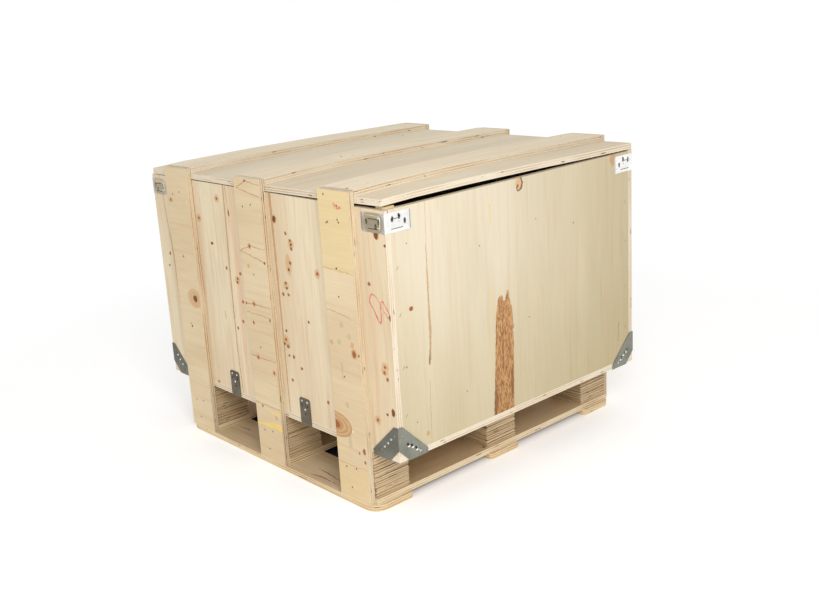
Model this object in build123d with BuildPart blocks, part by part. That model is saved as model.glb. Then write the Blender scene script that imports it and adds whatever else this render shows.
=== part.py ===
from build123d import *
import math
import os

# Plywood shipping crate on a block pallet base, in millimetres.
# +Z is up, +X runs along the sides that carry the battens, and the front side faces -Y.
# The origin is on the floor, under the middle of the crate.

os.makedirs("parts", exist_ok=True)

# ---- driving dimensions ----
ply = 18                    # thickness of every board
crate_length = 1160         # over both end panels, along X
crate_width = 1040          # over both side panels, along Y
panel_height = 680          # side panels, from the deck to the lid
block_size = 130            # square plan of the pallet blocks
block_layers = 8            # boards glued up in one block
batten_width = 130
batten_pitch = 400          # from the middle batten to the outer ones

# ---- base ----
runner_length = 970
runner_inner_radius = 12
runner_outer_radius = 45    # the four outside corners of the base are well rounded
cross_board_width = 140
block_pitch_x = 405
layer_wander = 1.0          # how far the boards of a block stray from its faces
wander_x = 2.3              # turn, in radians, from one board's stray to the next
wander_y = 3.1

# ---- box ----
end_panel_drop = 4          # the end panels stop short of the lid
cleat_size = 34

# ---- lid ----
lid_setback = 8             # lid edge to the outer face of an end panel
lid_side_gap = 1            # lid edge to the side battens
lid_batten_gap = 2          # lid batten end to the side battens

# ---- top corner brackets: u is measured from the corner, v from the plate's lower edge ----
top_plate = 1.5
top_wing_length = 90
top_wing_height = 53
top_wing_level = 615        # lower edge, above the deck
top_corner_radius = 9
top_fold_radius = 2
pad_u = 44
pad_length = 56
pad_height = 38
pad_radius = 6
pad_rise = 1.2
pad_slope = 45              # of the pad's sides, in degrees
rib_u = 42
rib_length = 42
rib_width = 4
rib_rise = 0.8
rib_slope = 30
rib_offset = 13             # above and below the middle of the plate
slot_length = 8
slot_width = 3
side_slots = ((20, 30), (32, 17), (68, 28))
end_slots = ((24, 36), (48, 40), (68, 25))
tooth_height = 5            # each slot's tooth is bent into the wood
tooth_depth = 10
small_holes = ((77, 40), (77, 14), (47, 26.5))
small_hole_radius = 2

# ---- bottom corner brackets: v is measured from the deck's underside ----
low_plate = 2
low_reach = 105             # along each edge from the corner
low_height = 101
low_top = 15                # flat at the top of each wing
low_side = 14               # short upright at the far end of each wing
notch_height = 35
notch_reach = 34
low_corner_hole = (14, 75)
low_side_nails = ((28, 62), (41, 48), (56, 34))
low_side_holes = (low_corner_hole, (70, 21))
low_end_holes = (low_corner_hole, (32, 45), (46, 38), (61, 26), (74, 16))
low_hole_radius = 3.2

# ---- straps: u is measured from the strap's centreline, v from the deck's underside ----
strap_width = 50
strap_height = 84
strap_return = 45           # tab folded under the deck
strap_radius = 9
strap_places = (-198, 172)  # along X, one in each bay between the battens
strap_nails = ((-13, 74), (12, 73), (0, 48))
strap_spare_holes = ((-13, 60), (12, 59), (0, 34))
strap_spare_radius = 3

# ---- nails and staples ----
drive_gap = 0.1             # between a nail or a staple and the wood around it
head_radius = 3
head_height = 1.4
shank_radius = 1.5
head_sink = 1.6             # heads are driven below the surface
block_nail_length = 58
panel_nail_length = 31
lid_nail_length = 31
small_head_radius = 3.4
small_head_height = 1
small_head_slope = 20       # of the domed heads' sides, in degrees
small_shank_radius = 1.2
small_nail_length = 11
staple_crown = 12
staple_wire = 1.4
staple_leg = 26
staple_sink = 0.6
staple_tilt = 52            # of the crown, from level
staple_inset = 35           # from the corner of the crate
staple_levels = (108, 245, 392, 519)    # above the deck

# nails in a side batten: u from the batten's centreline, v above the floor
block_nails = ((-12, 53), (-30, 113), (13, 118))
panel_nails = ((-8, 390), (-6, 621), (-30, 826), (12, 836))
# nails in a lid batten: from its centreline, and along Y
lid_nails = tuple((x, y) for x in (-32, 32) for y in (-440, -150, 150, 440))

# ---- levels above the floor ----
runner_top = ply
cross_top = 2 * ply
deck_bottom = cross_top + block_layers * ply
deck_top = deck_bottom + ply
panel_top = deck_top + panel_height
lid_top = panel_top + ply
crate_top = lid_top + ply
end_panel_height = panel_height - end_panel_drop
top_wing_bottom = deck_top + top_wing_level

# ---- places worked out from the above ----
half_length = crate_length / 2
half_width = crate_width / 2
batten_face = half_width + ply
block_pitch_y = half_width - block_size / 2
cleat_x = half_length - ply - cleat_size / 2
cleat_y = half_width - ply - cleat_size / 2
rows = {"front": -1, "middle": 0, "back": 1}
columns = {"left": -1, "middle": 0, "right": 1}
sides = {"front": -1, "back": 1}
ends = {"left": -1, "right": 1}
corners = {end + "_" + side: (ends[end], sides[side]) for end in ends for side in sides}


def finish(piece, name):
    """Label a finished piece and write it as its own file."""
    piece.label = name
    export_step(piece, "parts/" + name + ".step")


def side_plane(side, distance):
    """Upright plane facing out of the front (-1) or the back (+1); its local x is -side * X."""
    return Plane(origin=(0, side * distance, 0), x_dir=(-side, 0, 0), z_dir=(0, side, 0))


def end_plane(end, distance):
    """Upright plane facing out of the left (-1) or the right (+1) end; its local x is end * Y."""
    return Plane(origin=(end * distance, 0, 0), x_dir=(0, end, 0), z_dir=(end, 0, 0))


def on_side(side, points, centre=0):
    """Points (X offset from centre, Z) as local points of a side plane."""
    return [(-side * (centre + x), z) for x, z in points]


def side_corner_points(points, level):
    """Points (u from the corner, v above level) at both ends of a side, as local points."""
    return [(end * (half_length - u), level + v) for end in (-1, 1) for u, v in points]


def end_corner_points(points, level):
    """Points (u from the corner, v above level) at both corners of an end, as local points."""
    return [(side * (half_width - u), level + v) for side in (-1, 1) for u, v in points]


def staple_legs(centres):
    """Local points of the two legs of each staple."""
    reach = (staple_crown - staple_wire) / 2
    step_x = reach * math.cos(math.radians(staple_tilt))
    step_y = reach * math.sin(math.radians(staple_tilt))
    return [(x + way * step_x, y + way * step_y) for x, y in centres for way in (-1, 1)]


# The wings of a right front corner bracket: the plane, the corner's local x,
# the way that u runs along local x, and the slots of a top bracket's wing.
front_wing = (side_plane(-1, half_width), half_length, -1, side_slots)
end_wing = (end_plane(1, half_length), -half_width, 1, end_slots)


def wing_points(wing, points, level):
    """Points (u from the corner, v above level) as local points of one wing's plane."""
    corner, way = wing[1:3]
    return [(corner + way * u, level + v) for u, v in points]


def moved_to_corner(piece, end, side):
    """A piece made for the right front corner, mirrored to another corner."""
    if end < 0:
        piece = mirror(piece, about=Plane.YZ)
    if side > 0:
        piece = mirror(piece, about=Plane.XZ)
    return piece


def teeth(slots):
    """Points (u, v) of the teeth beside the slots."""
    return [(u + (slot_width + top_plate) / 2, v) for u, v in slots]


def strap_points(side, points):
    """Points (u from the strap's centreline, v above the deck's underside) as local points of a side plane."""
    return [(-side * place + u, deck_bottom + v) for place in strap_places for u, v in points]


# Local points of everything that is driven into the wood.
staple_places = end_corner_points([(staple_inset, v) for v in staple_levels], deck_top)
teeth_on_side = side_corner_points(teeth(side_slots), top_wing_bottom)
teeth_on_end = end_corner_points(teeth(end_slots), top_wing_bottom)
low_nails_on_side = side_corner_points(low_side_nails, deck_bottom)

# ---------------------------------------------------------------- base

for row, side in rows.items():
    width = block_size + (ply if side else 0)
    centre_y = side * (batten_face - width / 2)
    front_radius = runner_outer_radius if side < 0 else runner_inner_radius
    back_radius = runner_outer_radius if side > 0 else runner_inner_radius
    with BuildPart() as runner:
        with BuildSketch():
            with Locations((0, centre_y)):
                Rectangle(runner_length, width)
            fillet(vertices().group_by(Axis.Y)[0], radius=front_radius)
            fillet(vertices().group_by(Axis.Y)[-1], radius=back_radius)
        extrude(amount=ply)
    finish(runner.part, "runner_" + row)

for column, end in columns.items():
    with BuildPart() as cross_board:
        with BuildSketch(Plane.XY.offset(runner_top)):
            with Locations((end * block_pitch_x, 0)):
                Rectangle(cross_board_width, crate_width)
        extrude(amount=ply)
    finish(cross_board.part, "cross_board_" + column)

# Each block is a stack of board offcuts glued together, none of them quite in line.
for row, side in rows.items():
    for column, end in columns.items():
        seed = 3 * side + end
        centre_x = end * block_pitch_x
        centre_y = side * block_pitch_y
        with BuildPart() as block:
            for layer in range(block_layers):
                shift_x = layer_wander * math.sin(wander_x * layer + seed)
                shift_y = layer_wander * math.sin(wander_y * layer + 2 * seed)
                with BuildSketch(Plane.XY.offset(cross_top + layer * ply)):
                    with Locations((centre_x + shift_x, centre_y + shift_y)):
                        Rectangle(block_size - 2 * layer_wander, block_size - 2 * layer_wander)
                extrude(amount=ply)
            if side:
                with BuildSketch(side_plane(side, half_width)):
                    with Locations(*on_side(side, block_nails, end * batten_pitch)):
                        Circle(shank_radius + drive_gap)
                extrude(amount=-(block_nail_length - ply), mode=Mode.SUBTRACT)
        finish(block.part, "block_" + row + "_" + column)

with BuildPart() as deck:
    with BuildSketch(Plane.XY.offset(deck_bottom)):
        Rectangle(crate_length, crate_width)
    extrude(amount=ply)
finish(deck.part, "deck")

# ---------------------------------------------------------------- box

for name, side in sides.items():
    with BuildPart() as side_panel:
        with BuildSketch(Plane.XY.offset(deck_top)):
            with Locations((0, side * (half_width - ply / 2))):
                Rectangle(crate_length, ply)
        extrude(amount=panel_height)
        with BuildSketch(side_plane(side, half_width)):
            for end in columns.values():
                with Locations(*on_side(side, panel_nails, end * batten_pitch)):
                    Circle(shank_radius + drive_gap)
        extrude(amount=-(panel_nail_length - ply), mode=Mode.SUBTRACT)
        with BuildSketch(side_plane(side, half_width)):
            with Locations(*low_nails_on_side, *strap_points(side, strap_nails)):
                Circle(small_shank_radius + drive_gap)
        extrude(amount=-small_nail_length, mode=Mode.SUBTRACT)
        with BuildSketch(side_plane(side, half_width)):
            with Locations(*teeth_on_side):
                Rectangle(top_plate + 2 * drive_gap, tooth_height + 2 * drive_gap)
        extrude(amount=-(tooth_depth + drive_gap), mode=Mode.SUBTRACT)
    finish(side_panel.part, "side_panel_" + name)

for name, end in ends.items():
    with BuildPart() as end_panel:
        with BuildSketch(Plane.XY.offset(deck_top)):
            with Locations((end * (half_length - ply / 2), 0)):
                Rectangle(ply, crate_width - 2 * ply)
        extrude(amount=end_panel_height)
        with BuildSketch(end_plane(end, half_length)):
            with Locations(*teeth_on_end):
                Rectangle(top_plate + 2 * drive_gap, tooth_height + 2 * drive_gap)
        extrude(amount=-(tooth_depth + drive_gap), mode=Mode.SUBTRACT)
        with BuildSketch(end_plane(end, half_length)):
            with Locations(*staple_places):
                Rectangle(staple_crown + 2 * drive_gap, staple_wire + 2 * drive_gap, rotation=staple_tilt)
        extrude(amount=-(staple_sink + staple_wire), mode=Mode.SUBTRACT)
        with BuildSketch(end_plane(end, half_length)):
            with Locations(*staple_legs(staple_places)):
                Circle(staple_wire / 2 + drive_gap)
        extrude(amount=-ply, mode=Mode.SUBTRACT)
    finish(end_panel.part, "end_panel_" + name)

for name, (end, side) in corners.items():
    near_staples = [point for point in staple_legs(staple_places) if point[0] * end * side > 0]
    with BuildPart() as cleat:
        with BuildSketch(Plane.XY.offset(deck_top)):
            with Locations((end * cleat_x, side * cleat_y)):
                Rectangle(cleat_size, cleat_size)
        extrude(amount=panel_height)
        with BuildSketch(end_plane(end, half_length - ply)):
            with Locations(*near_staples):
                Circle(staple_wire / 2 + drive_gap)
        extrude(amount=-(staple_leg + staple_sink - ply), mode=Mode.SUBTRACT)
    finish(cleat.part, "corner_cleat_" + name)

for name, side in sides.items():
    for column, end in columns.items():
        nails = on_side(side, block_nails + panel_nails, end * batten_pitch)
        with BuildPart() as batten:
            with BuildSketch(Plane.XY.offset(runner_top)):
                with Locations((end * batten_pitch, side * (half_width + ply / 2))):
                    Rectangle(batten_width, ply)
            extrude(amount=crate_top - runner_top)
            with BuildSketch(side_plane(side, batten_face)):
                with Locations(*nails):
                    Circle(head_radius + drive_gap)
            extrude(amount=-(head_sink + head_height), mode=Mode.SUBTRACT)
            with BuildSketch(side_plane(side, batten_face)):
                with Locations(*nails):
                    Circle(shank_radius + drive_gap)
            extrude(amount=-ply, mode=Mode.SUBTRACT)
        finish(batten.part, "side_batten_" + name + "_" + column)

# ---------------------------------------------------------------- lid

with BuildPart() as lid_panel:
    with BuildSketch(Plane.XY.offset(panel_top)):
        Rectangle(crate_length - 2 * lid_setback, crate_width - 2 * lid_side_gap)
    extrude(amount=ply)
    with BuildSketch(Plane.XY.offset(lid_top)):
        with Locations(*[(end * batten_pitch + x, y) for end in columns.values() for x, y in lid_nails]):
            Circle(shank_radius + drive_gap)
    extrude(amount=-(lid_nail_length - ply), mode=Mode.SUBTRACT)
finish(lid_panel.part, "lid_panel")

for column, end in columns.items():
    nails = [(end * batten_pitch + x, y) for x, y in lid_nails]
    with BuildPart() as lid_batten:
        with BuildSketch(Plane.XY.offset(lid_top)):
            with Locations((end * batten_pitch, 0)):
                Rectangle(batten_width, crate_width - 2 * lid_batten_gap)
        extrude(amount=ply)
        with BuildSketch(Plane.XY.offset(crate_top)):
            with Locations(*nails):
                Circle(head_radius + drive_gap)
        extrude(amount=-(head_sink + head_height), mode=Mode.SUBTRACT)
        with BuildSketch(Plane.XY.offset(crate_top)):
            with Locations(*nails):
                Circle(shank_radius + drive_gap)
        extrude(amount=-ply, mode=Mode.SUBTRACT)
    finish(lid_batten.part, "lid_batten_" + column)

# ---------------------------------------------------------------- top corner brackets

with BuildPart() as top_bracket:
    for wing in (front_wing, end_wing):
        plane = wing[0]
        outline = ((-top_plate, 0), (top_wing_length, 0), (top_wing_length, top_wing_height),
                   (-top_plate, top_wing_height))
        with BuildSketch(plane) as plate:
            Polygon(*wing_points(wing, outline, top_wing_bottom), align=None)
            far_end = vertices().sort_by(Axis(plane.origin, plane.x_dir))
            fillet(far_end[:2] if wing is front_wing else far_end[2:], radius=top_corner_radius)
        extrude(amount=top_plate)
    fold = edges().filter_by(Axis.Z).sort_by(Axis((0, 0, 0), (1, -1, 0)))[-1]
    fillet(fold, radius=top_fold_radius)
    for wing in (front_wing, end_wing):
        plate_face = wing[0].offset(top_plate)
        with BuildSketch(plate_face):
            with Locations(*wing_points(wing, [(pad_u, top_wing_height / 2)], top_wing_bottom)):
                RectangleRounded(pad_length, pad_height, pad_radius)
        extrude(amount=pad_rise, taper=pad_slope)
        rib_places = [(rib_u, top_wing_height / 2 + way * rib_offset) for way in (-1, 1)]
        with BuildSketch(plate_face.offset(pad_rise)):
            with Locations(*wing_points(wing, rib_places, top_wing_bottom)):
                SlotOverall(rib_length, rib_width)
        extrude(amount=rib_rise, taper=rib_slope)
        with BuildSketch(plate_face.offset(pad_rise + rib_rise)):
            with Locations(*wing_points(wing, wing[-1], top_wing_bottom)):
                SlotOverall(slot_length, slot_width, rotation=90)
            with Locations(*wing_points(wing, small_holes, top_wing_bottom)):
                Circle(small_hole_radius)
        extrude(amount=-(rib_rise + pad_rise + top_plate), mode=Mode.SUBTRACT)
        with BuildSketch(wing[0]):
            with Locations(*wing_points(wing, teeth(wing[-1]), top_wing_bottom)):
                Rectangle(top_plate, tooth_height)
        extrude(amount=-tooth_depth)

for name, (end, side) in corners.items():
    finish(moved_to_corner(top_bracket.part, end, side), "top_bracket_" + name)

# ---------------------------------------------------------------- bottom corner brackets

with BuildPart() as low_bracket:
    for wing, holes in ((front_wing, low_side_holes), (end_wing, low_end_holes)):
        outline = ((-low_plate, notch_height), (0, notch_height), (notch_reach, 0), (notch_reach, -low_plate),
                   (low_reach, -low_plate), (low_reach, low_side), (low_top, low_height), (-low_plate, low_height))
        with BuildSketch(wing[0]):
            Polygon(*wing_points(wing, outline, deck_bottom), align=None)
        extrude(amount=low_plate)
        with BuildSketch(wing[0].offset(low_plate)):
            with Locations(*wing_points(wing, holes, deck_bottom)):
                Circle(low_hole_radius)
        extrude(amount=-low_plate, mode=Mode.SUBTRACT)
    with BuildSketch(front_wing[0].offset(low_plate)):
        with Locations(*wing_points(front_wing, low_side_nails, deck_bottom)):
            Circle(small_hole_radius)
    extrude(amount=-low_plate, mode=Mode.SUBTRACT)
    under = ((notch_reach, -low_plate), (low_reach, -low_plate), (low_reach, low_side), (low_side, low_reach),
             (-low_plate, low_reach), (-low_plate, notch_reach), (0, notch_reach), (notch_reach, 0))
    with BuildSketch(Plane.XY.offset(deck_bottom - low_plate)):
        Polygon(*[(half_length - a, b - half_width) for a, b in under], align=None)
    extrude(amount=low_plate)

for name, (end, side) in corners.items():
    finish(moved_to_corner(low_bracket.part, end, side), "bottom_bracket_" + name)

# ---------------------------------------------------------------- straps

for name, side in sides.items():
    for number, place in enumerate(strap_places, start=1):
        with BuildPart() as strap:
            with BuildSketch(side_plane(side, half_width)):
                with Locations((-side * place, deck_bottom - low_plate)):
                    Rectangle(strap_width, strap_height + low_plate, align=(Align.CENTER, Align.MIN))
                fillet(vertices().group_by(Axis.Z)[-1], radius=strap_radius)
            extrude(amount=low_plate)
            for holes, radius in ((strap_nails, small_hole_radius), (strap_spare_holes, strap_spare_radius)):
                with BuildSketch(side_plane(side, half_width)):
                    with Locations(*[(u - side * place, deck_bottom + v) for u, v in holes]):
                        Circle(radius)
                extrude(amount=low_plate, mode=Mode.SUBTRACT)
            with BuildSketch(Plane.XY.offset(deck_bottom - low_plate)):
                with Locations((place, side * (half_width + low_plate - strap_return / 2))):
                    Rectangle(strap_width, strap_return)
            extrude(amount=low_plate)
        finish(strap.part, "strap_" + name + "_" + str(number))

# ---------------------------------------------------------------- nails and staples

with BuildPart() as batten_nails:
    for side in (-1, 1):
        head_plane = side_plane(side, batten_face - head_sink)
        for end in columns.values():
            for places, length in ((block_nails, block_nail_length), (panel_nails, panel_nail_length)):
                with BuildSketch(head_plane):
                    with Locations(*on_side(side, places, end * batten_pitch)):
                        Circle(head_radius)
                extrude(amount=-head_height)
                with BuildSketch(head_plane):
                    with Locations(*on_side(side, places, end * batten_pitch)):
                        Circle(shank_radius)
                extrude(amount=-(length - head_sink - drive_gap))
finish(batten_nails.part, "batten_nails")

with BuildPart() as lid_batten_nails:
    places = [(end * batten_pitch + x, y) for end in columns.values() for x, y in lid_nails]
    with BuildSketch(Plane.XY.offset(crate_top - head_sink)):
        with Locations(*places):
            Circle(head_radius)
    extrude(amount=-head_height)
    with BuildSketch(Plane.XY.offset(crate_top - head_sink)):
        with Locations(*places):
            Circle(shank_radius)
    extrude(amount=-(lid_nail_length - head_sink - drive_gap))
finish(lid_batten_nails.part, "lid_nails")

with BuildPart() as plate_nails:
    for side in (-1, 1):
        plane = side_plane(side, half_width).offset(low_plate)
        points = low_nails_on_side + strap_points(side, strap_nails)
        with BuildSketch(plane):
            with Locations(*points):
                Circle(small_head_radius)
        extrude(amount=small_head_height, taper=small_head_slope)
        with BuildSketch(plane):
            with Locations(*points):
                Circle(small_shank_radius)
        extrude(amount=-(low_plate + small_nail_length - drive_gap))
finish(plate_nails.part, "plate_nails")

with BuildPart() as staples:
    for end in (-1, 1):
        crown_plane = end_plane(end, half_length - staple_sink)
        with BuildSketch(crown_plane):
            with Locations(*staple_places):
                Rectangle(staple_crown, staple_wire, rotation=staple_tilt)
        extrude(amount=-staple_wire)
        with BuildSketch(crown_plane):
            with Locations(*staple_legs(staple_places)):
                Circle(staple_wire / 2)
        extrude(amount=-(staple_leg - drive_gap))
finish(staples.part, "staples")
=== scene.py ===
import math
import random

import bmesh
import bpy
from mathutils import Color, Matrix, Vector


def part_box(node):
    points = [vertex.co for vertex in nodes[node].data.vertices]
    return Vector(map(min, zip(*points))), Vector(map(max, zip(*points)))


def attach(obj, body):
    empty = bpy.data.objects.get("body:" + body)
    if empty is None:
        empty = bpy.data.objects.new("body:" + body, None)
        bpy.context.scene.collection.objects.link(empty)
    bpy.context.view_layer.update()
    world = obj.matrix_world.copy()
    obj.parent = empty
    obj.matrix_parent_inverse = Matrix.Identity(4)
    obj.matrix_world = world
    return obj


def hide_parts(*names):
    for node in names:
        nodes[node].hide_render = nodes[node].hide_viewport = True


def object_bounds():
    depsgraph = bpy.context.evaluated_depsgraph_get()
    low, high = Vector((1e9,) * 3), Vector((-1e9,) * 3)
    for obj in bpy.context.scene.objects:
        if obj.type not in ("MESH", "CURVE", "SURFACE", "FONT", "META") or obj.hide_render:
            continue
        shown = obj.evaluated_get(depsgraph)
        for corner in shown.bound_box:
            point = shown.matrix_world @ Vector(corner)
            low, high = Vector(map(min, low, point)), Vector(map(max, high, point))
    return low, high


# Looks of the plywood shipping crate. Places are in the row frame: +Z up, the battened front
# faces -Y and the bracketed end faces +X. Marks on the wood are given in millimetres.

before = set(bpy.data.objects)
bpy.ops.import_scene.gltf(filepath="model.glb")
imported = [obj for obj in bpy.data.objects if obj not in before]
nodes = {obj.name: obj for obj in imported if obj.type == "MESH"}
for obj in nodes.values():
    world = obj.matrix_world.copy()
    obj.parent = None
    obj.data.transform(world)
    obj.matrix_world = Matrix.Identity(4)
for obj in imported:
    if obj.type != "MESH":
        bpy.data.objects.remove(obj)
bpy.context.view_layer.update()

X, Y, Z = range(3)
MM = 0.001
BOARD = 18 * MM             # thickness of every board
PLIES = 5                   # veneers glued up in one board
LID_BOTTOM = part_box("lid_panel")[0].z
LID_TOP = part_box("lid_panel")[1].z
SIDE_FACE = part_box("side_panel_back")[1].y
END_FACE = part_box("end_panel_right")[1].x


def tone(red, green, blue):
    """A colour given as 0-255 display values, in the linear values that shaders take."""
    return (*Color((red / 255, green / 255, blue / 255)).from_srgb_to_scene_linear(), 1.0)


# ---------------------------------------------------------------- node helpers


class Tree:
    """A node tree with one short call for each kind of node it uses."""

    def __init__(self, tree):
        self.tree = tree

    def add(self, kind, values, **settings):
        """A new node with its settings made, and its sockets linked or filled."""
        made = self.tree.nodes.new(kind)
        for name, value in settings.items():
            setattr(made, name, value)
        for place, value in values.items():
            if isinstance(value, bpy.types.NodeSocket):
                self.link(value, made.inputs[place])
            else:
                made.inputs[place].default_value = value
        return made

    def link(self, value, socket):
        """Feed a socket from a node's output."""
        self.tree.links.new(value, socket)

    def math(self, operation, *values):
        """A sum on numbers."""
        return self.add("ShaderNodeMath", dict(enumerate(values)), operation=operation).outputs[0]

    def vector(self, operation, *values):
        """A sum on vectors."""
        return self.add("ShaderNodeVectorMath", dict(enumerate(values)), operation=operation).outputs[0]

    def measure(self, operation, *values):
        """A vector operation whose result is a number."""
        return self.add("ShaderNodeVectorMath", dict(enumerate(values)), operation=operation).outputs[1]

    def smooth(self, value, low, high):
        """0 where value is at low, 1 where it is at high, eased between them."""
        ends = {0: value, 1: low, 2: high}
        return self.add("ShaderNodeMapRange", ends, interpolation_type="SMOOTHSTEP").outputs[0]

    def spread(self, value, low, high):
        """A 0 to 1 value stretched to run from low to high."""
        return self.add("ShaderNodeMapRange", {0: value, 3: low, 4: high}).outputs[0]

    def noise(self, place, scales, detail=2):
        """Noise with its own scale along each axis, per metre."""
        stretched = self.vector("MULTIPLY", place, scales)
        return self.add("ShaderNodeTexNoise", {"Vector": stretched, "Scale": 1, "Detail": detail}).outputs[0]

    def mix(self, amount, first, second, blend="MIX"):
        """First colour where amount is 0, second where it is 1."""
        values = {0: amount, 6: first, 7: second}
        return self.add("ShaderNodeMix", values, data_type="RGBA", blend_type=blend).outputs[2]

    def shade(self, colour, amount):
        """Colour made lighter or darker by a factor."""
        return self.mix(1.0, colour, amount, "MULTIPLY")

    def bump(self, height, distance):
        """A normal tilted by a height, where a height of 1 stands for distance."""
        return self.add("ShaderNodeBump", {"Height": height, "Distance": distance, "Strength": 1}).outputs[0]


WIDEST_RIM = 3 * MM         # the soft rim of the larger marks


def shape_group(name, inputs):
    """An empty node group that turns a point into a mask, with its inputs."""
    group = bpy.data.node_groups.new(name, "ShaderNodeTree")
    for label, kind in inputs:
        group.interface.new_socket(label, in_out="INPUT", socket_type=kind)
    group.interface.new_socket("Mask", in_out="OUTPUT", socket_type="NodeSocketFloat")
    return group, group.nodes.new("NodeGroupInput").outputs, group.nodes.new("NodeGroupOutput").inputs[0]


def make_spot_group():
    """An oval spot, fading out at its rim from the share of its size that is full."""
    group, given, mask = shape_group("spot", [("Point", "NodeSocketVector"), ("Centre", "NodeSocketVector"),
                                              ("Size", "NodeSocketVector"), ("Full", "NodeSocketFloat")])
    tree = Tree(group)
    offset = tree.vector("SUBTRACT", given["Point"], given["Centre"])
    distance = tree.measure("LENGTH", tree.vector("DIVIDE", offset, given["Size"]))
    group.links.new(tree.smooth(distance, 1.0, given["Full"]), mask)
    return group


def make_stroke_group():
    """A straight stroke from one point to another, with its own half width at each end."""
    group, given, mask = shape_group("stroke", [("Point", "NodeSocketVector"), ("From", "NodeSocketVector"),
                                                ("To", "NodeSocketVector"), ("From Width", "NodeSocketFloat"),
                                                ("To Width", "NodeSocketFloat")])
    tree = Tree(group)
    run = tree.vector("SUBTRACT", given["To"], given["From"])
    offset = tree.vector("SUBTRACT", given["Point"], given["From"])
    length_squared = tree.measure("DOT_PRODUCT", run, run)
    along = tree.math("DIVIDE", tree.measure("DOT_PRODUCT", offset, run), length_squared)
    along = tree.add("ShaderNodeClamp", {0: along}).outputs[0]
    foot = tree.add("ShaderNodeVectorMath", {0: run, 3: along}, operation="SCALE").outputs[0]
    distance = tree.measure("LENGTH", tree.vector("SUBTRACT", offset, foot))
    widening = tree.math("SUBTRACT", given["To Width"], given["From Width"])
    width = tree.math("MULTIPLY_ADD", along, widening, given["From Width"])
    rim = tree.math("MINIMUM", tree.math("MULTIPLY", width, 0.5), WIDEST_RIM)
    group.links.new(tree.smooth(distance, width, tree.math("SUBTRACT", width, rim)), mask)
    return group


SPOT = make_spot_group()
STROKE = make_stroke_group()


def spot(u, v, half_width=5, half_height=None):
    """A knot or speck: its centre and half sizes in millimetres."""
    size = (half_width * MM, (half_height or half_width) * MM, 1.0)
    full = 1 - min(0.5, WIDEST_RIM / size[0])
    return [(SPOT, {"Centre": (u * MM, v * MM, 0), "Size": size, "Full": full})]


def spots(half_size, *centres):
    """Several round spots of one size."""
    return [shape for u, v in centres for shape in spot(u, v, half_size)]


def stroke(*points):
    """A line through points (u, v, half width), in millimetres."""
    return [(STROKE, {"From": (a[0] * MM, a[1] * MM, 0), "To": (b[0] * MM, b[1] * MM, 0),
                      "From Width": a[2] * MM, "To Width": b[2] * MM}) for a, b in zip(points, points[1:])]


def drawn(tree, point, shapes):
    """One mask for a list of shapes."""
    mask = 0.0
    for group, values in shapes:
        shape = tree.add("ShaderNodeGroup", {}, node_tree=group)
        tree.link(point, shape.inputs["Point"])
        for label, value in values.items():
            shape.inputs[label].default_value = value
        mask = tree.math("MAXIMUM", shape.outputs[0], mask)
    return mask


# ---------------------------------------------------------------- wood

CREAM = tone(236, 222, 190)
# White of the veneer's specks, also used as a painted highlight on the bottom brackets.
SPECK_AND_HIGHLIGHT_WHITE = tone(250, 248, 240)
BAND_BROWN = tone(204, 164, 124)
EDGE_CREAM = tone(232, 214, 178)
EDGE_BROWN = tone(176, 138, 96)
VOID_BROWN = tone(84, 56, 34)
KNOT_BROWN = tone(120, 72, 40)
KNOT_RED = tone(152, 82, 44)
HALO_TAN = tone(206, 160, 108)
SEAM_BROWN = tone(186, 140, 92)
FAINT_BROWN = tone(206, 170, 124)
YELLOW = tone(238, 206, 120)
HEARTWOOD = tone(186, 138, 88)
PINK = tone(226, 178, 138)
CRAYON = tone(216, 92, 84)
STAIN_GREY = tone(176, 170, 132)
# Painted shade: the black of the shadow inside holes and slots.
PAINTED_HOLE_SHADE = tone(26, 20, 16)


def new_material(name):
    """A material with a principled shader, its tree, and the shader node."""
    material = bpy.data.materials.new(name)
    material.use_nodes = True
    shader = material.node_tree.nodes["Principled BSDF"]
    return material, Tree(material.node_tree), shader


def along_grain(along, lengthwise, across):
    """Noise scales per metre: one along the grain and one across it."""
    return tuple(lengthwise if axis == along else across for axis in range(3))


def veneer(tree, place, point, along, light, dark, marks, figure, specks):
    """Face grain: broad patches, marks, growth lines, fine streaks and short pores.

    Returns the colour and the height of the surface."""
    patches = tree.noise(place, along_grain(along, 1.2, 6), 3)
    growth = tree.noise(place, along_grain(along, 1.3, 13), 3)
    rings = tree.math("SINE", tree.math("MULTIPLY", growth, 70))
    bands = tree.noise(place, along_grain(along, 2.5, 60), 3)
    streaks = tree.noise(place, along_grain(along, 6, 260), 3)
    pores = tree.smooth(tree.noise(place, along_grain(along, 45, 900), 1), 0.66, 0.76)
    flecks = tree.noise(place, along_grain(along, 80, 330), 4)
    colour = tree.mix(tree.smooth(patches, 0.35, 0.65), light, dark)
    colour = tree.mix(tree.math("MULTIPLY", tree.smooth(bands, 0.5, 0.75), 0.35 * figure), colour, BAND_BROWN)
    for mark, strength, shapes in marks:
        if isinstance(strength, tuple):
            strength = tree.spread(tree.smooth(flecks, 0.4, 0.6), *strength)
        mask = tree.math("MULTIPLY", drawn(tree, point, shapes), strength)
        colour = tree.mix(mask, colour, mark)
    shading = tree.math("ADD", tree.spread(streaks, 1 - 0.08 * figure, 1 + 0.08 * figure),
                        tree.math("MULTIPLY", rings, 0.016 * figure))
    shading = tree.math("SUBTRACT", shading, tree.math("MULTIPLY", pores, 0.12 * figure))
    colour = tree.shade(colour, shading)
    if specks:
        white = tree.smooth(tree.noise(place, (240, 240, 240), 1), 0.74, 0.78)
        colour = tree.mix(tree.math("MULTIPLY", white, specks), colour, SPECK_AND_HIGHLIGHT_WHITE)
    return colour, streaks


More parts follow.
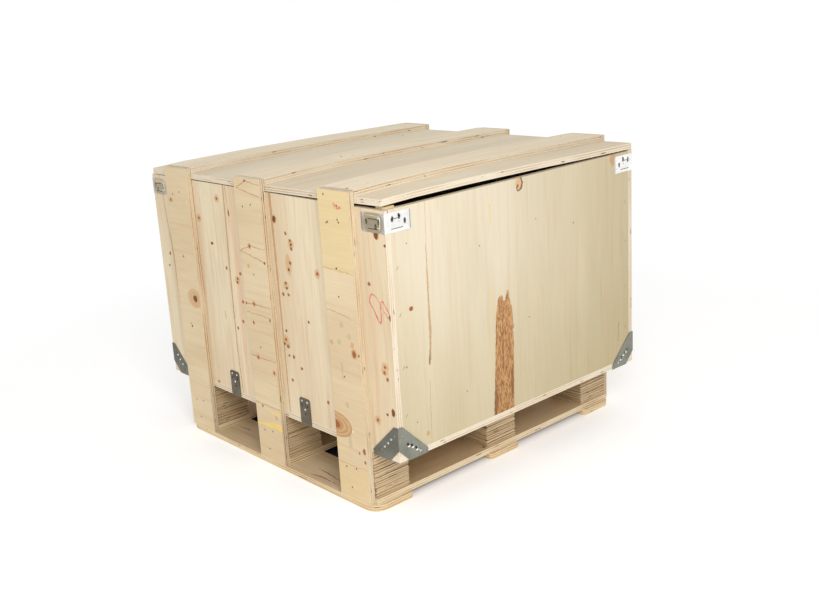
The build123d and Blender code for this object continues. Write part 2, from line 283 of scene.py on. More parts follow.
def ply_edge(tree, place, depth, through, light, dark, lines):
    """Board edge: plies of long grain and end grain in turn, dark glue lines and voids.

    depth runs from 0 to 1 through the board. Returns the colour and the height of the surface."""
    wobble = tree.noise(place, (14, 14, 14), 2)
    layer = tree.math("MULTIPLY", tree.math("ADD", depth, tree.spread(wobble, -0.05, 0.05)), PLIES)
    end_grain = tree.math("FLOORED_MODULO", tree.math("FLOOR", layer), 2)
    from_middle = tree.math("ABSOLUTE", tree.math("SUBTRACT", tree.math("FRACT", layer), 0.5))
    glue = tree.smooth(from_middle, 0.38, 0.5)
    fibres = tree.noise(place, (240, 240, 240), 2)
    breaks = tree.noise(place, along_grain(through, 90, 24), 2)
    void = tree.math("MULTIPLY", tree.smooth(breaks, 0.64, 0.69), end_grain)
    tint = tree.noise(place, along_grain(through, 60, 5), 2)
    colour = tree.mix(tree.math("MULTIPLY", end_grain, tree.smooth(tint, 0.3, 0.7)), light, dark)
    colour = tree.mix(tree.math("MULTIPLY", glue, tree.math("MULTIPLY", tint, lines)), colour, VOID_BROWN)
    colour = tree.mix(tree.math("MULTIPLY", void, 0.75), colour, VOID_BROWN)
    colour = tree.shade(colour, tree.spread(fibres, 0.86, 1.12))
    return colour, tree.math("SUBTRACT", tree.math("MULTIPLY", end_grain, -0.5), void)


KNOT_CELLS = 7              # cells per metre that may hold a scattered knot
KNOT_RIM = (0.045, 0.02)    # of such a knot, as shares of a cell: its outside and where it is full
RIM_WANDER = (6 * MM, 8 * MM, 0)    # how far noise pulls the rims of marks


def random_knots(tree, point, amount):
    """Scattered small knots for faces whose marks aren't placed by hand."""
    cells = tree.add("ShaderNodeTexVoronoi", {"Vector": point, "Scale": KNOT_CELLS}, voronoi_dimensions="2D")
    lot = tree.add("ShaderNodeSeparateColor", {0: cells.outputs["Color"]}).outputs[0]
    chosen = tree.math("LESS_THAN", lot, amount)
    return tree.math("MULTIPLY", tree.smooth(cells.outputs["Distance"], *KNOT_RIM), chosen)


def plywood(name, through, along, start, light, dark, marks=(), knots=0.0, figure=1.0, specks=0.0,
            edges=(EDGE_CREAM, EDGE_BROWN), lines=0.3, stored_place=False, painted_shade=()):
    """Plywood board: veneer on its faces and plies on its edges.

    through is the axis of its thickness, along the axis of its face grain, start where its thickness
    begins, and marks a list of (colour, strength, shapes) on its face, where a pair of strengths
    follows the flecks of the grain. figure is how strong the grain is, specks how plain the white
    specks are, edges the tones of long grain and end grain plies, lines how dark the glue is, and
    the last argument a list of (tint, axis, from, to) of painted shade, for a face painted darker along an
    axis."""
    material, tree, shader = new_material(name)
    coordinates = tree.add("ShaderNodeTexCoord", {})
    place = coordinates.outputs["Object"]
    if stored_place:
        place = tree.add("ShaderNodeAttribute", {}, attribute_name="rest_place").outputs["Vector"]
    axes = tree.add("ShaderNodeSeparateXYZ", {0: place}).outputs
    normal = tree.add("ShaderNodeSeparateXYZ", {0: coordinates.outputs["Normal"]}).outputs
    u, v = [axes[axis] for axis in range(3) if axis != through]
    flat = tree.add("ShaderNodeCombineXYZ", {0: u, 1: v}).outputs[0]
    ragged = tree.add("ShaderNodeTexNoise", {"Vector": flat, "Scale": 90, "Detail": 2}).outputs[1]
    ragged = tree.vector("MULTIPLY", tree.vector("SUBTRACT", ragged, (0.5, 0.5, 0.5)), RIM_WANDER)
    point = tree.vector("ADD", flat, ragged)
    colour, height = veneer(tree, place, point, along, light, dark, marks, figure, specks)
    # Painted shade: the face is painted darker along each listed axis.
    for tint, axis, lit_end, shaded_end in painted_shade:
        colour = tree.mix(tree.smooth(axes[axis], lit_end, shaded_end), colour, tree.shade(colour, tint))
    if knots:
        colour = tree.mix(random_knots(tree, point, knots), colour, KNOT_BROWN)
    depth = tree.math("DIVIDE", tree.math("SUBTRACT", tree.math("ABSOLUTE", axes[through]), start), BOARD)
    edge_colour, edge_height = ply_edge(tree, place, tree.math("FRACT", depth), through, *edges, lines)
    on_face = tree.math("GREATER_THAN", tree.math("ABSOLUTE", normal[through]), 0.5)
    colour = tree.mix(on_face, edge_colour, colour)
    height = tree.math("MULTIPLY_ADD", tree.math("SUBTRACT", height, edge_height), on_face, edge_height)
    tree.link(colour, shader.inputs["Base Color"])
    tree.link(tree.spread(height, 0.5, 0.75), shader.inputs["Roughness"])
    tree.link(tree.bump(height, 0.3 * MM), shader.inputs["Normal"])
    shader.inputs["Specular IOR Level"].default_value = 0.3
    return material


# ---------------------------------------------------------------- marks on the wood

# Each mark is (colour, strength, shapes), with its shapes placed in millimetres across and up the face.
front_marks = [
    (SEAM_BROWN, 0.8, stroke((-155, 878, 3), (-160, 700, 5), (-164, 565, 4), (-167, 345, 3), (-160, 200, 3))
     + stroke((-143, 875, 2.5), (-139, 745, 1)) + stroke((-216, 465, 1.5), (-215, 440, 3))
     + stroke((87, 878, 8), (90, 705, 6), (92, 400, 4), (92, 200, 3)) + stroke((-333, 878, 3), (-331, 500, 2))
     + stroke((-535, 878, 2), (-500, 600, 4), (-495, 380, 2))),
    (PINK, 0.5, stroke((-120, 878, 8), (-118, 600, 14), (-122, 198, 8))
     + stroke((-478, 870, 6), (-470, 400, 4))),
    (PINK, 0.6, stroke((512, 817, 4), (517, 705, 2)) + stroke((511, 575, 3), (505, 305, 4))),
    (HALO_TAN, 0.6, spots(15, (-197, 831), (-313, 757), (99, 800), (544, 808), (104, 435), (283, 663),
                          (545, 447), (171, 733), (130, 605), (112, 420), (-126, 580), (542, 435), (501, 285))
     + spot(150, 670, 16, 34)),
    (KNOT_RED, 0.9, spots(7, (-197, 831), (-313, 757), (-181, 611), (-106, 603), (-107, 513), (-117, 448),
                          (168, 744), (171, 720), (160, 677), (129, 612), (138, 578), (112, 576), (149, 764),
                          (283, 663), (104, 435), (112, 414), (136, 385), (171, 356), (119, 309), (285, 279),
                          (503, 670), (545, 447), (541, 431), (552, 414), (501, 285), (-523, 611),
                          (-301, 203))),
    (KNOT_BROWN, 1.0, spots(6, (-124, 585), (-128, 573), (-150, 420), (171, 732), (150, 656), (132, 597),
                            (110, 462), (96, 419), (113, 386), (224, 511), (575, 783), (542, 311),
                            (-536, 567))),
    (KNOT_BROWN, 1.0, spot(-137, 792, 4, 14) + spot(-250, 682, 9, 6) + spot(99, 800, 10, 12)
     + spot(544, 808, 10, 14) + spot(566, 322, 8, 15)),
    # Painted shade: dark spots on the wood behind the top bracket's slots.
    (PAINTED_HOLE_SHADE, 1.0, spot(560, 843, 3, 6) + spot(548, 830, 3, 6) + spot(512, 841, 3, 6)),
    (CRAYON, (0.5, 1.0), stroke((510, 644, 4), (502, 631, 3), (500, 622, 3), (505, 615, 3), (515, 602, 3),
                                  (527, 583, 3), (533, 574, 3), (539, 569, 4), (544, 582, 3), (543, 602, 3),
                                  (546, 628, 3), (552, 631, 3), (558, 626, 3), (564, 614, 3), (577, 600, 2))
     + stroke((510, 644, 3), (522, 642, 2), (531, 637, 2), (537, 628, 2), (543, 622, 2))
     + stroke((553, 607, 1.5), (562, 597, 2), (571, 588, 2))),
    (KNOT_BROWN, 1.0, spot(578, 589, 6, 12)),
    # Painted shade: dark spots on the wood behind the straps' spare holes.
    (PAINTED_HOLE_SHADE, 1.0, spots(8, (-211, 240), (-186, 239), (-198, 214), (159, 240), (184, 239), (172, 214))),
]

left_batten_marks = [
    (HALO_TAN, 0.6, spot(-445, 806, 16, 11) + spot(-364, 484, 44, 34) + spot(-408, 621, 7)),
    (FAINT_BROWN, 0.7, spot(-363, 484, 30, 24)),
    (KNOT_BROWN, 0.95, spot(-445, 806, 6) + spot(-362, 483, 14, 13) + spot(-402, 382, 6)
     + spot(-408, 621, 4)),
    (YELLOW, 0.7, spot(-347, 807, 8, 6)),
]

middle_batten_marks = [
    (SEAM_BROWN, 0.75, stroke((65, 897, 1.5), (-7, 905, 2.5), (-54, 881, 2), (60, 862, 2))
     + stroke((65, 706, 1.5), (-14, 708, 2.5), (-66, 688, 2), (60, 666, 2.5))
     + stroke((-66, 522, 2.5), (-20, 526, 3), (66, 525, 1.5)) + stroke((-66, 496, 1.5), (60, 494, 2))
     + stroke((-66, 357, 2), (-26, 355, 3), (66, 357, 2)) + stroke((-66, 201, 2), (66, 201, 2))),
    (YELLOW, 0.9, stroke((7, 185, 2), (66, 184, 6)) + stroke((-66, 130, 3), (66, 143, 14))),
    (HALO_TAN, 0.8, spots(8, (-30, 644), (40, 170))
     + spots(11, (-20, 526), (-26, 355), (-14, 708), (52, 320))),
    (KNOT_RED, 0.95, spots(6, (-7, 905), (-14, 708), (56, 665), (-62, 522), (-20, 526), (56, 488), (-32, 465),
                           (-26, 355), (52, 320), (-28, 194))),
]

SEAM_Z = 693                # height of the seam below the right batten's upper veneer
LONG_WAY = 4000             # half size of a spot so large that its rim is straight

right_batten_marks = [
    (tone(226, 202, 150), 0.75, spot(400, SEAM_Z + LONG_WAY, LONG_WAY)),
    (tone(206, 164, 104), 0.7, stroke((332, 697, 3), (400, 695, 3), (470, 692, 1.5))),
    (tone(222, 196, 146), 0.6, spot(400, 123 - LONG_WAY, LONG_WAY)),
    (SEAM_BROWN, 0.6, stroke((334, 578, 1.5), (400, 572, 2), (445, 563, 1))
     + stroke((334, 122, 1.5), (466, 126, 1))),
    (YELLOW, 0.9, stroke((334, 165, 4), (362, 163, 3))),
    (STAIN_GREY, 0.45, spots(10, (396, 542), (380, 490), (425, 513), (395, 307))
     + stroke((385, 427, 6), (384, 385, 4)) + stroke((394, 222, 6), (396, 186, 10))),
    (SEAM_BROWN, 0.9, spot(333, 236, 76, 40)),
    (FAINT_BROWN, 0.9, spot(333, 236, 69, 35)),
    (SEAM_BROWN, 0.8, spot(333, 236, 58, 29)),
    (FAINT_BROWN, 0.8, spot(333, 236, 50, 24)),
    (SEAM_BROWN, 0.9, spot(333, 236, 38, 19)),
    (HALO_TAN, 0.8, spot(441, 466, 14, 17) + spots(9, (346, 482), (436, 490))),
    (KNOT_RED, 0.9, spot(441, 466, 9, 12) + spots(5, (461, 465), (361, 901), (414, 874), (432, 172))
     + spot(332, 236, 24, 13) + spot(454, 182, 8, 11) + spot(455, 149, 6, 8)),
    (CREAM, 0.9, spot(411, 231, 5, 7)),
    (CRAYON, (0.1, 0.8), stroke((401, 879, 4), (407, 870, 5), (416, 866, 6), (427, 870, 5))),
    # Painted shade: dark spots for the shadow inside holes.
    (PAINTED_HOLE_SHADE, 0.9, spots(4, (393, 700), (365, 824), (417, 829))),
]

# A tongue of heartwood: two peaks that run together into one wide streak.
HEART_SHAPE = (stroke((-101, 540, 12), (-103, 500, 20), (-103, 450, 24))
               + stroke((-70, 556, 5), (-73, 530, 12), (-73, 500, 20), (-74, 450, 26))
               + stroke((-86, 500, 34), (-90, 400, 40), (-101, 190, 44)))

end_marks = [
    (FAINT_BROWN, 0.7, stroke((-377, 874, 1.5), (-381, 695, 2), (-379, 640, 3))),
    (SEAM_BROWN, 0.75, stroke((-381, 760, 1), (-382, 640, 3), (-381, 525, 6), (-386, 440, 3))
     + stroke((-392, 380, 1), (-398, 200, 1))),
    (VOID_BROWN, 0.7, stroke((-386, 470, 1), (-390, 432, 4), (-391, 425, 1))),
    (FAINT_BROWN, 0.5, stroke((-330, 870, 1.5), (-331, 835, 1)) + stroke((-131, 820, 3), (-130, 760, 1))),
    (YELLOW, 0.35, stroke((-135, 600, 2), (-136, 560, 6), (-146, 420, 4), (-155, 300, 2))
     + spot(-130, 805, 5, 45)),
    (HALO_TAN, 0.7, spots(9, (-446, 598), (-410, 232)) + spot(-8, 858, 16, 21) + spot(424, 862, 16, 24)),
    (KNOT_BROWN, 0.9, stroke((-26, 874, 2), (-12, 880, 3), (2, 872, 4), (6, 858, 4), (0, 842, 4),
                             (-14, 838, 3), (-20, 850, 2)) + spot(-14, 852, 5, 7)),
    (KNOT_RED, 0.95, spot(-446, 598, 8)),
    (KNOT_BROWN, 0.8, spots(3, (-474, 443), (-447, 276), (-251, 307), (-449, 777), (20, 457), (-178, 713),
                            (230, 700), (60, 745)) + spot(449, 820, 4, 12)
     + stroke((446, 268, 1), (448, 330, 1))),
    (HEARTWOOD, 1.0, HEART_SHAPE),
    (tone(150, 92, 56), (0.0, 0.8), HEART_SHAPE),
    (tone(214, 174, 122), (0.6, 0.0), HEART_SHAPE),
    (KNOT_BROWN, 0.6, stroke((-134, 290, 3), (-134, 240, 10), (-138, 200, 8))
     + stroke((-60, 330, 2), (-62, 280, 9), (-64, 230, 5)) + stroke((-118, 500, 1.5), (-127, 400, 2))
     + stroke((-95, 480, 2), (-98, 330, 3))),
    # Painted shade: dark spots behind the top bracket's slots and a dark stroke behind the bottom bracket's
    # holes.
    (PAINTED_HOLE_SHADE, 1.0, spot(-496, 849, 3, 6) + spot(-472, 853, 3, 6) + spot(-452, 838, 3, 6)
     + stroke((-494, 231, 12), (-474, 219, 12), (-454, 205, 12))),
]

runner_marks = [
    (KNOT_BROWN, 0.75, stroke((166, -519, 1), (208, -511, 4), (296, -513, 1))
     + stroke((158, -481, 1), (205, -482, 4), (276, -492, 1))
     + stroke((-304, -455, 1), (-262, -450, 3), (-250, -452, 1))),
]

# ---------------------------------------------------------------- kinds of plywood

# Tones of the long grain and end grain plies of an edge.
PALE_EDGES = (tone(230, 217, 193), tone(206, 178, 144))
BATTEN_EDGES = (tone(222, 204, 172), tone(188, 152, 116))
RUNNER_EDGES = (tone(230, 208, 168), tone(190, 146, 104))
BLOCK_EDGES = (tone(212, 190, 152), tone(166, 128, 88))

# Tones of the lighter and darker patches of a face.
BATTEN_FACE = (tone(226, 206, 170), tone(216, 193, 155))

SIDE_START = SIDE_FACE - BOARD
END_START = END_FACE - BOARD
PAINTED_SHADE_TO_BACK = ((0.82, 0.79, 0.68, 1), Y, -0.1, 0.6)     # painted shade: the right end is painted darker this way
PAINTED_SHADE_TO_FLOOR = ((0.84, 0.81, 0.71, 1), Z, 0.75, 0.15)   # and this way, also painted shade
FRONT_BATTENS = {"left": left_batten_marks, "middle": middle_batten_marks, "right": right_batten_marks}
materials = {
    "runner": plywood("runner_plywood", Z, X, 0, tone(226, 206, 170), tone(206, 180, 142), runner_marks,
                      knots=0.3, figure=1.6, edges=RUNNER_EDGES),
    "cross_board": plywood("cross_board_plywood", Z, Y, 0, tone(220, 198, 162), tone(204, 178, 140),
                           knots=0.3),
    "deck": plywood("deck_plywood", Z, X, 0, tone(196, 168, 128), tone(178, 148, 110), knots=0.3,
                    edges=PALE_EDGES),
    "block": plywood("block_plywood", Z, X, 0, tone(214, 190, 150), tone(196, 170, 130),
                     edges=BLOCK_EDGES, lines=1.6),
    "cleat": plywood("cleat_wood", X, Z, 0, tone(232, 210, 168), tone(220, 194, 150), edges=(CREAM, CREAM)),
    "side_front": plywood("side_plywood_front", Y, Z, SIDE_START, tone(228, 212, 181), tone(218, 196, 162),
                          front_marks, figure=1.3, edges=PALE_EDGES, lines=0.9),
    "side_back": plywood("side_plywood_back", Y, Z, SIDE_START, tone(226, 206, 174), tone(214, 188, 154),
                         knots=0.6, figure=1.3, edges=PALE_EDGES, lines=0.9),
    # The right end is painted darker towards the back and towards the floor: painted shade.
    "end_right": plywood("end_plywood_right", X, Z, END_START, tone(219, 207, 182), tone(212, 199, 171),
                         end_marks, figure=0.6, edges=PALE_EDGES, painted_shade=[PAINTED_SHADE_TO_BACK, PAINTED_SHADE_TO_FLOOR]),
    "end_left": plywood("end_plywood_left", X, Z, END_START, tone(226, 214, 188), tone(219, 205, 177),
                        knots=0.15, figure=0.6, edges=PALE_EDGES),
    "batten_back": plywood("batten_plywood_back", Y, X, SIDE_FACE, *BATTEN_FACE,
                           knots=0.4, figure=0.8, edges=BATTEN_EDGES, lines=0.8),
    "lid": plywood("lid_plywood", Z, Y, LID_BOTTOM, tone(230, 217, 191), tone(220, 204, 176), knots=0.1,
                   specks=0.6, figure=0.8, edges=PALE_EDGES, lines=0.9, stored_place=True),
    "lid_batten": plywood("lid_batten_plywood", Z, Y, LID_TOP, tone(240, 225, 197), tone(233, 216, 186),
                          knots=0.1, specks=0.5, figure=0.8, edges=PALE_EDGES, lines=0.9,
                          stored_place=True),
}
for column, marks in FRONT_BATTENS.items():
    materials["batten_front_" + column] = plywood(
        "batten_plywood_front_" + column, Y, X, SIDE_FACE, *BATTEN_FACE, marks,
        figure=0.8, edges=BATTEN_EDGES, lines=1.5)


# ---------------------------------------------------------------- metal


def corner_point(tree, place, normal):
    """A point on any corner bracket, as (distance from the crate's middle, height).

    It is positive on a wing that lies on a side, and negative on a wing that lies on an end."""
    axes = tree.add("ShaderNodeSeparateXYZ", {0: place}).outputs
    facing = tree.add("ShaderNodeSeparateXYZ", {0: normal}).outputs
    on_side = tree.math("GREATER_THAN", tree.math("ABSOLUTE", facing[Y]), tree.math("ABSOLUTE", facing[X]))
    on_end_distance = tree.math("MULTIPLY", tree.math("ABSOLUTE", axes[Y]), -1)
    difference = tree.math("SUBTRACT", tree.math("ABSOLUTE", axes[X]), on_end_distance)
    distance = tree.math("MULTIPLY_ADD", difference, on_side, on_end_distance)
    return tree.add("ShaderNodeCombineXYZ", {0: distance, 1: axes[Z]}).outputs[0]


BURNISH = 0.85              # roughness left where the die has pressed the zinc


def metal(name, light, dark, roughness, marks=(), pressed=()):
    """Galvanised or bare steel: soft clouds and faint crystals in its tone, and fine rolling scratches.

    marks are (colour, strength, shapes) on the corner brackets, and pressed the shapes that the die
    has burnished smooth."""
    material, tree, shader = new_material(name)
    coordinates = tree.add("ShaderNodeTexCoord", {})
    place = coordinates.outputs["Object"]
    point = corner_point(tree, place, coordinates.outputs["Normal"])
    crystals = tree.add("ShaderNodeTexVoronoi", {"Vector": place, "Scale": 220}).outputs["Color"]
    flake = tree.add("ShaderNodeSeparateColor", {0: crystals}).outputs[0]
    clouds = tree.noise(place, (22, 22, 22), 3)
    scratches = tree.noise(place, (900, 900, 60), 2)
    blend = tree.math("ADD", tree.math("MULTIPLY", flake, 0.12), tree.math("MULTIPLY", clouds, 0.88))
    colour = tree.mix(tree.smooth(blend, 0.3, 0.65), dark, light)
    for mark, strength, shapes in marks:
        colour = tree.mix(tree.math("MULTIPLY", drawn(tree, point, shapes), strength), colour, mark)
    rough = tree.spread(clouds, roughness - 0.06, roughness + 0.06)
    if pressed:
        rough = tree.math("MULTIPLY", rough, tree.spread(drawn(tree, point, pressed), 1.0, BURNISH))
    tree.link(colour, shader.inputs["Base Color"])
    tree.link(rough, shader.inputs["Roughness"])
    tree.link(tree.bump(scratches, 0.02 * MM), shader.inputs["Normal"])
    shader.inputs["Metallic"].default_value = 1.0
    return material


# Marks on the brackets. The first number of a place is its distance from the crate's middle,
# negative on a wing that lies on an end.
PAD_SHAPE = stroke((524, 839.5, 18), (548, 839.5, 18)) + stroke((-488, 839.5, 18), (-464, 839.5, 18))
bracket_marks = [
    (tone(224, 208, 176), 0.9, stroke((524, 839.5, 30), (548, 839.5, 30))),
    (tone(176, 176, 172), 0.9, stroke((493, 816, 3), (493, 863, 3)) + stroke((-433, 816, 3), (-433, 863, 3))),
    # Painted shade: dark rims around the slots.
    (PAINTED_HOLE_SHADE, 1.0, spot(560, 843, 5, 9) + spot(548, 830, 5, 9) + spot(512, 841, 5, 9)
     + spot(-496, 849, 6, 10) + spot(-472, 853, 6, 10) + spot(-452, 838, 6, 10)),
    # Painted shadow: dark lines just below the pressed ribs.
    (tone(90, 88, 84), 0.9, stroke((-500, 823, 1.5), (-460, 823, 1.5))
     + stroke((-490, 849, 1.5), (-478, 849, 1.5)) + stroke((520, 849, 1.5), (556, 849, 1.5))
     + stroke((520, 823, 1.5), (556, 823, 1.5))),
]
low_bracket_marks = [
    # Painted highlight: bright spots at the lower rims of the end wing's holes.
    (SPECK_AND_HIGHLIGHT_WHITE, 1.0, spot(-485, 219, 6, 3) + spot(-471, 212, 6, 3) + spot(-456, 200, 6, 3)
     + spot(-444, 193, 4, 3)),
    # Painted shade: dark spots in the upper parts of those holes.
    (PAINTED_HOLE_SHADE, 1.0, spots(5, (-489, 227), (-475, 220), (-460, 208))),
]

bright_zinc = metal("bright_zinc", tone(253, 252, 250), tone(240, 239, 236), 0.42, bracket_marks, PAD_SHAPE)
grey_zinc = metal("grey_zinc", tone(145, 146, 136), tone(126, 127, 117), 0.45, low_bracket_marks)
strap_steel = metal("strap_steel", tone(140, 132, 116), tone(116, 108, 94), 0.45)
nail_steel = metal("nail_steel", tone(70, 60, 50), tone(34, 28, 24), 0.45)
nail_zinc = metal("nail_zinc", tone(252, 252, 250), tone(240, 240, 238), 0.35)


def paint(names, material):
    """Give CAD nodes a better material in the slot that they come with."""
    for name in names:
        for slot in nodes[name].material_slots:
            slot.material = material


def named(start):
    """The names of the CAD nodes that begin with start."""
    return [name for name in nodes if name.startswith(start)]


paint(named("runner_"), materials["runner"])
paint(named("cross_board_"), materials["cross_board"])
paint(["deck"], materials["deck"])
paint(["side_panel_back"], materials["side_back"])
paint(["end_panel_left"], materials["end_left"])
paint(["end_panel_right"], materials["end_right"])
paint(named("corner_cleat_"), materials["cleat"])
for column in FRONT_BATTENS:
    paint(["side_batten_front_" + column], materials["batten_front_" + column])
paint(named("side_batten_back_"), materials["batten_back"])
paint(named("top_bracket_"), bright_zinc)
paint(named("bottom_bracket_"), grey_zinc)
paint(named("strap_"), strap_steel)
paint(["batten_nails", "staples"], nail_steel)
paint(["plate_nails"], nail_zinc)


# ---------------------------------------------------------------- pieces that replace CAD nodes


def add_piece(name, mesh, body, material_slot, *replaced):
    """Put a finished mesh in the scene, in place of CAD nodes."""
    piece = bpy.data.objects.new(name, mesh)
    bpy.context.scene.collection.objects.link(piece)
    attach(piece, body)
    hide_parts(*replaced)


SAWN_SHORT = (0.1, 0.4, 0.9, 1.6, 4.0)  # millimetres that a ply's side may lie back from its block's
DEEPEST_CHIP = 0.5          # millimetres
SIDE_STEPS = 8              # points along a ply's side


def ragged_outline(low, high, dice):
    """Corners and side points of one ply of a block, each side sawn a little short of the block's box."""
    inset = [dice.choice(SAWN_SHORT) * MM for _ in range(4)]
    left, right = low.x + inset[0], high.x - inset[1]
    front, back = low.y + inset[2], high.y - inset[3]
    corners = [(left, front), (right, front), (right, back), (left, back)]
    outline = []
    for (ax, ay), (bx, by) in zip(corners, corners[1:] + corners[:1]):
        for step in range(SIDE_STEPS):
            share = step / SIDE_STEPS
            chip = dice.uniform(0, DEEPEST_CHIP) * MM if step else 0
            x = ax + share * (bx - ax)
            y = ay + share * (by - ay)
            inward = Vector(((low.x + high.x) / 2 - x, (low.y + high.y) / 2 - y)).normalized() * chip
            outline.append((x + inward.x, y + inward.y))
    return outline


def layered_block(name, seed):
    """A block's plies, each sawn and worn to its own outline, as one closed skin."""
    low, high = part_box(name)
    dice = random.Random(seed)
    shape = bmesh.new()
    count = round((high.z - low.z) / BOARD) * PLIES
    rings = []
    for ply in range(count):
        outline = ragged_outline(low, high, dice)
        for level in (ply, ply + 1):
            z = low.z + (high.z - low.z) * level / count
            rings.append([shape.verts.new((x, y, z)) for x, y in outline])
    for lower, upper in zip(rings, rings[1:]):
        for i in range(len(lower)):
            j = (i + 1) % len(lower)
            shape.faces.new((lower[i], lower[j], upper[j], upper[i]))
    shape.faces.new(rings[0][::-1])
    shape.faces.new(rings[-1])
    mesh = bpy.data.meshes.new(name + "_plies")
    shape.to_mesh(mesh)
    shape.free()
    mesh.materials.append(materials["block"])
    add_piece(name + "_plies", mesh, "crate", "block_ply", name)


for seed, name in enumerate(sorted(named("block_"))):
    layered_block(name, seed)


LID_END = (0.5, 0.572)      # the part of the lid along X that is sawn askew
LID_END_SHIFT = (-3 * MM, 8 * MM)   # of that end, at the front and at the back

# The lid has bowed: its rise in millimetres, a row for each station along X.
WARP_X = (-0.324, 0.065, 0.454, 0.572)
WARP_Y = (-0.519, -0.4, -0.2, 0.1, 0.3, 0.519)
WARP_RISE = ((2, 7, 9, 7.5, 4, 1), (0, 5, 10, 9, 5.5, 2), (4, 7.5, 10.5, 9.5, 5, 1), (6, 9.5, 10, 7, 3, 1))


def station(value, stations):
    """Which stations value lies between, and how far along."""
    value = min(max(value, stations[0]), stations[-1])
    index = max(i for i in range(len(stations) - 1) if stations[i] <= value)
    return index, (value - stations[index]) / (stations[index + 1] - stations[index])


def bent(place):
    """Where the bow of the lid and its askew right end take a point."""
    i, across = station(place.x, WARP_X)
    j, down = station(place.y, WARP_Y)
    near = WARP_RISE[i][j] * (1 - down) + WARP_RISE[i][j + 1] * down
    far = WARP_RISE[i + 1][j] * (1 - down) + WARP_RISE[i + 1][j + 1] * down
    rise = (near * (1 - across) + far * across) * MM
    to_end = station(place.x, LID_END)[1]
    to_back = station(place.y, (WARP_Y[0], WARP_Y[-1]))[1]
    shift = to_end * (LID_END_SHIFT[0] * (1 - to_back) + LID_END_SHIFT[1] * to_back)
    return place + Vector((shift, 0, rise))


def warped(name, material, material_slot, cut=0.04):
    """A lid piece bent to the lid's bow, cut up finely enough to bend, keeping each point's flat place."""
    low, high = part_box(name)
    shape = bmesh.new()
    shape.from_mesh(nodes[name].data)
    if cut:
        for axis in (X, Y):
            direction = Vector((axis == X, axis == Y, 0))
            for step in range(1, int((high[axis] - low[axis]) / cut)):
                everything = shape.verts[:] + shape.edges[:] + shape.faces[:]
                bmesh.ops.bisect_plane(shape, geom=everything, plane_co=direction * (low[axis] + step * cut),
                                       plane_no=direction)
    rest = shape.verts.layers.float_vector.new("rest_place")
    for vertex in shape.verts:
        vertex[rest] = vertex.co
        vertex.co = bent(vertex.co)
    mesh = bpy.data.meshes.new(name + "_warped")
    shape.to_mesh(mesh)
    shape.free()
    mesh.materials.append(material)
    add_piece(name + "_warped", mesh, "lid", material_slot, name)


FRONT_PANEL_FALL = 5 * MM   # how much lower the front panel's top is at its right end


def sloped_front_panel():
    """The front panel, sawn out of square: its top edge falls away to the right."""
    name = "side_panel_front"
    low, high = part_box(name)
    mesh = nodes[name].data.copy()
    for vertex in mesh.vertices:
        if vertex.co.z > high.z - MM:
            vertex.co.z -= FRONT_PANEL_FALL * (vertex.co.x - low.x) / (high.x - low.x)
    mesh.materials.clear()
    mesh.materials.append(materials["side_front"])
    add_piece(name + "_sloped", mesh, "crate", "side_ply", name)


sloped_front_panel()
warped("lid_panel", materials["lid"], "lid_ply")
for column in ("left", "middle", "right"):
    warped("lid_batten_" + column, materials["lid_batten"], "lid_batten_ply")
warped("lid_nails", nail_steel, "nail_steel", cut=0)

# ---------------------------------------------------------------- studio


def add_object(name, data):
    """Put a new object in the scene."""
    made = bpy.data.objects.new(name, data)
    bpy.context.scene.collection.objects.link(made)
    return made


FLOOR_REACH = 30            # half size of the floor, past the edge of every view
FLOOR_DROP = 0.5 * MM       # keeps the floor clear of the runners' undersides
FLOOR_FADE = (1.2, 3.0)     # distances between which the floor turns into plain white
FLOOR_GLOW = (0.3, 1.0)     # light that the floor gives off before and after that
UNDERSIDE = (0.5, 0.47)     # half sizes of the floor painted dark under the pallet, a painted shadow
UNDERSIDE_RIM = (0.8, 1.0)  # shares of them between which the painted shadow ends
FLOOR_GREY = (0.9, 0.9, 0.9, 1)
UNDERSIDE_SHADOW_GREY = (0.05, 0.05, 0.06, 1)
CARD_GREY = (0.36, 0.35, 0.33, 1)
BLACK = (0, 0, 0, 1)
SKY_LIGHT = 0.70            # light of the white surroundings, which look like 1 to the camera and to metal


def rectangle(name, left, front, right, back):
    """A flat mesh at the level of its object."""
    mesh = bpy.data.meshes.new(name)
    corners = [(left, front, 0), (right, front, 0), (right, back, 0), (left, back, 0)]
    mesh.from_pydata(corners, [], [(0, 1, 2, 3)])
    return mesh


def make_floor():
    """A plain pale floor that turns white far off, with a painted shadow: it is painted dark under the
    pallet.
    """
    mesh = rectangle("floor", -FLOOR_REACH, -FLOOR_REACH, FLOOR_REACH, FLOOR_REACH)
    material, tree, shader = new_material("floor_paint")
    place = tree.add("ShaderNodeTexCoord", {}).outputs["Object"]
    far = tree.smooth(tree.measure("LENGTH", place), *FLOOR_FADE)
    axes = tree.add("ShaderNodeSeparateXYZ", {0: place}).outputs
    beneath = tree.math("MAXIMUM", *[tree.math("DIVIDE", tree.math("ABSOLUTE", axes[axis]), half)
                                     for axis, half in zip((X, Y), UNDERSIDE)])
    # Painted shadow: under the pallet the floor is painted dark and gives off no light.
    lit = tree.smooth(beneath, *UNDERSIDE_RIM)
    colour = tree.mix(far, FLOOR_GREY, BLACK)
    tree.link(tree.mix(lit, UNDERSIDE_SHADOW_GREY, colour), shader.inputs["Base Color"])
    shader.inputs["Emission Color"].default_value = (1, 1, 1, 1)
    glow = tree.math("MULTIPLY", tree.spread(far, *FLOOR_GLOW), lit)
    tree.link(glow, shader.inputs["Emission Strength"])
    shader.inputs["Roughness"].default_value = 0.9
    shader.inputs["Specular IOR Level"].default_value = 0.1
    mesh.materials.append(material)
    floor = add_object("floor", mesh)
    floor.location.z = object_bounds()[0].z - FLOOR_DROP


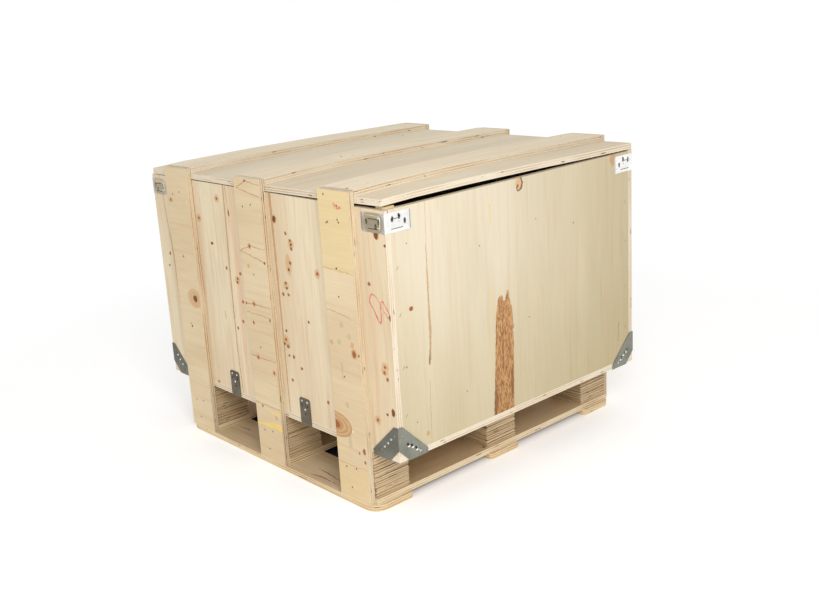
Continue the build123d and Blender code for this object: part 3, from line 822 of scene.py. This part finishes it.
def softbox(name, place, target, size, power):
    """A square area light aimed at a point."""
    light = bpy.data.lights.new(name, "AREA")
    light.size = size
    light.energy = power
    made = add_object(name, light)
    made.location = place
    made.rotation_euler = (Vector(target) - Vector(place)).to_track_quat("-Z", "Y").to_euler()


def make_shade_card():
    """A grey card on the floor off to the front left, seen only in the metal's reflections."""
    mesh = rectangle("shade_card", -9, -8, 0.9, -0.8)
    material, _, shader = new_material("shade_card_grey")
    shader.inputs["Base Color"].default_value = CARD_GREY
    shader.inputs["Roughness"].default_value = 1.0
    mesh.materials.append(material)
    card = add_object("shade_card", mesh)
    card.location.z = MM
    card.visible_camera = False
    card.visible_diffuse = False
    card.visible_shadow = False


def make_world():
    """White surroundings that give off less light than they seem to."""
    world = bpy.data.worlds.new("studio")
    world.use_nodes = True
    tree = Tree(world.node_tree)
    ray = tree.add("ShaderNodeLightPath", {}).outputs
    seen = tree.math("MAXIMUM", ray["Is Camera Ray"], ray["Is Glossy Ray"])
    backdrop = world.node_tree.nodes["Background"]
    backdrop.inputs["Color"].default_value = (1, 1, 1, 1)
    tree.link(tree.spread(seen, SKY_LIGHT, 1.0), backdrop.inputs["Strength"])
    bpy.context.scene.world = world


CAMERA_PLACE = (2.5419, -2.2403, 1.4039)
CAMERA_TURN = math.radians(51.48)       # to the left from looking along +Y
CAMERA_DIP = math.radians(15.31)        # below level
CAMERA_ROLL = math.radians(-4.45)
CAMERA_LENS = 46.34
CAMERA_SHIFT = (0.0844, -0.0269)        # the framing of the crop


def make_camera():
    """The view that the crate is matched from."""
    data = bpy.data.cameras.new("camera")
    data.lens = CAMERA_LENS
    data.shift_x, data.shift_y = CAMERA_SHIFT
    camera = add_object("camera", data)
    forward = Vector((-math.sin(CAMERA_TURN) * math.cos(CAMERA_DIP),
                      math.cos(CAMERA_TURN) * math.cos(CAMERA_DIP), -math.sin(CAMERA_DIP)))
    right = Vector((math.cos(CAMERA_TURN), math.sin(CAMERA_TURN), 0))
    up = right.cross(forward)
    rolled_right = math.cos(CAMERA_ROLL) * right + math.sin(CAMERA_ROLL) * up
    rolled_up = math.cos(CAMERA_ROLL) * up - math.sin(CAMERA_ROLL) * right
    turned = Matrix((rolled_right, rolled_up, -forward)).transposed().to_4x4()
    camera.matrix_world = Matrix.Translation(CAMERA_PLACE) @ turned
    bpy.context.scene.camera = camera


make_floor()
make_shade_card()
make_world()
softbox("key_light", (2.3, -1.6, 1.9), target=(0.2, -0.2, 0.5), size=1.0, power=34)
make_camera()
bpy.context.scene.view_settings.view_transform = "Standard"
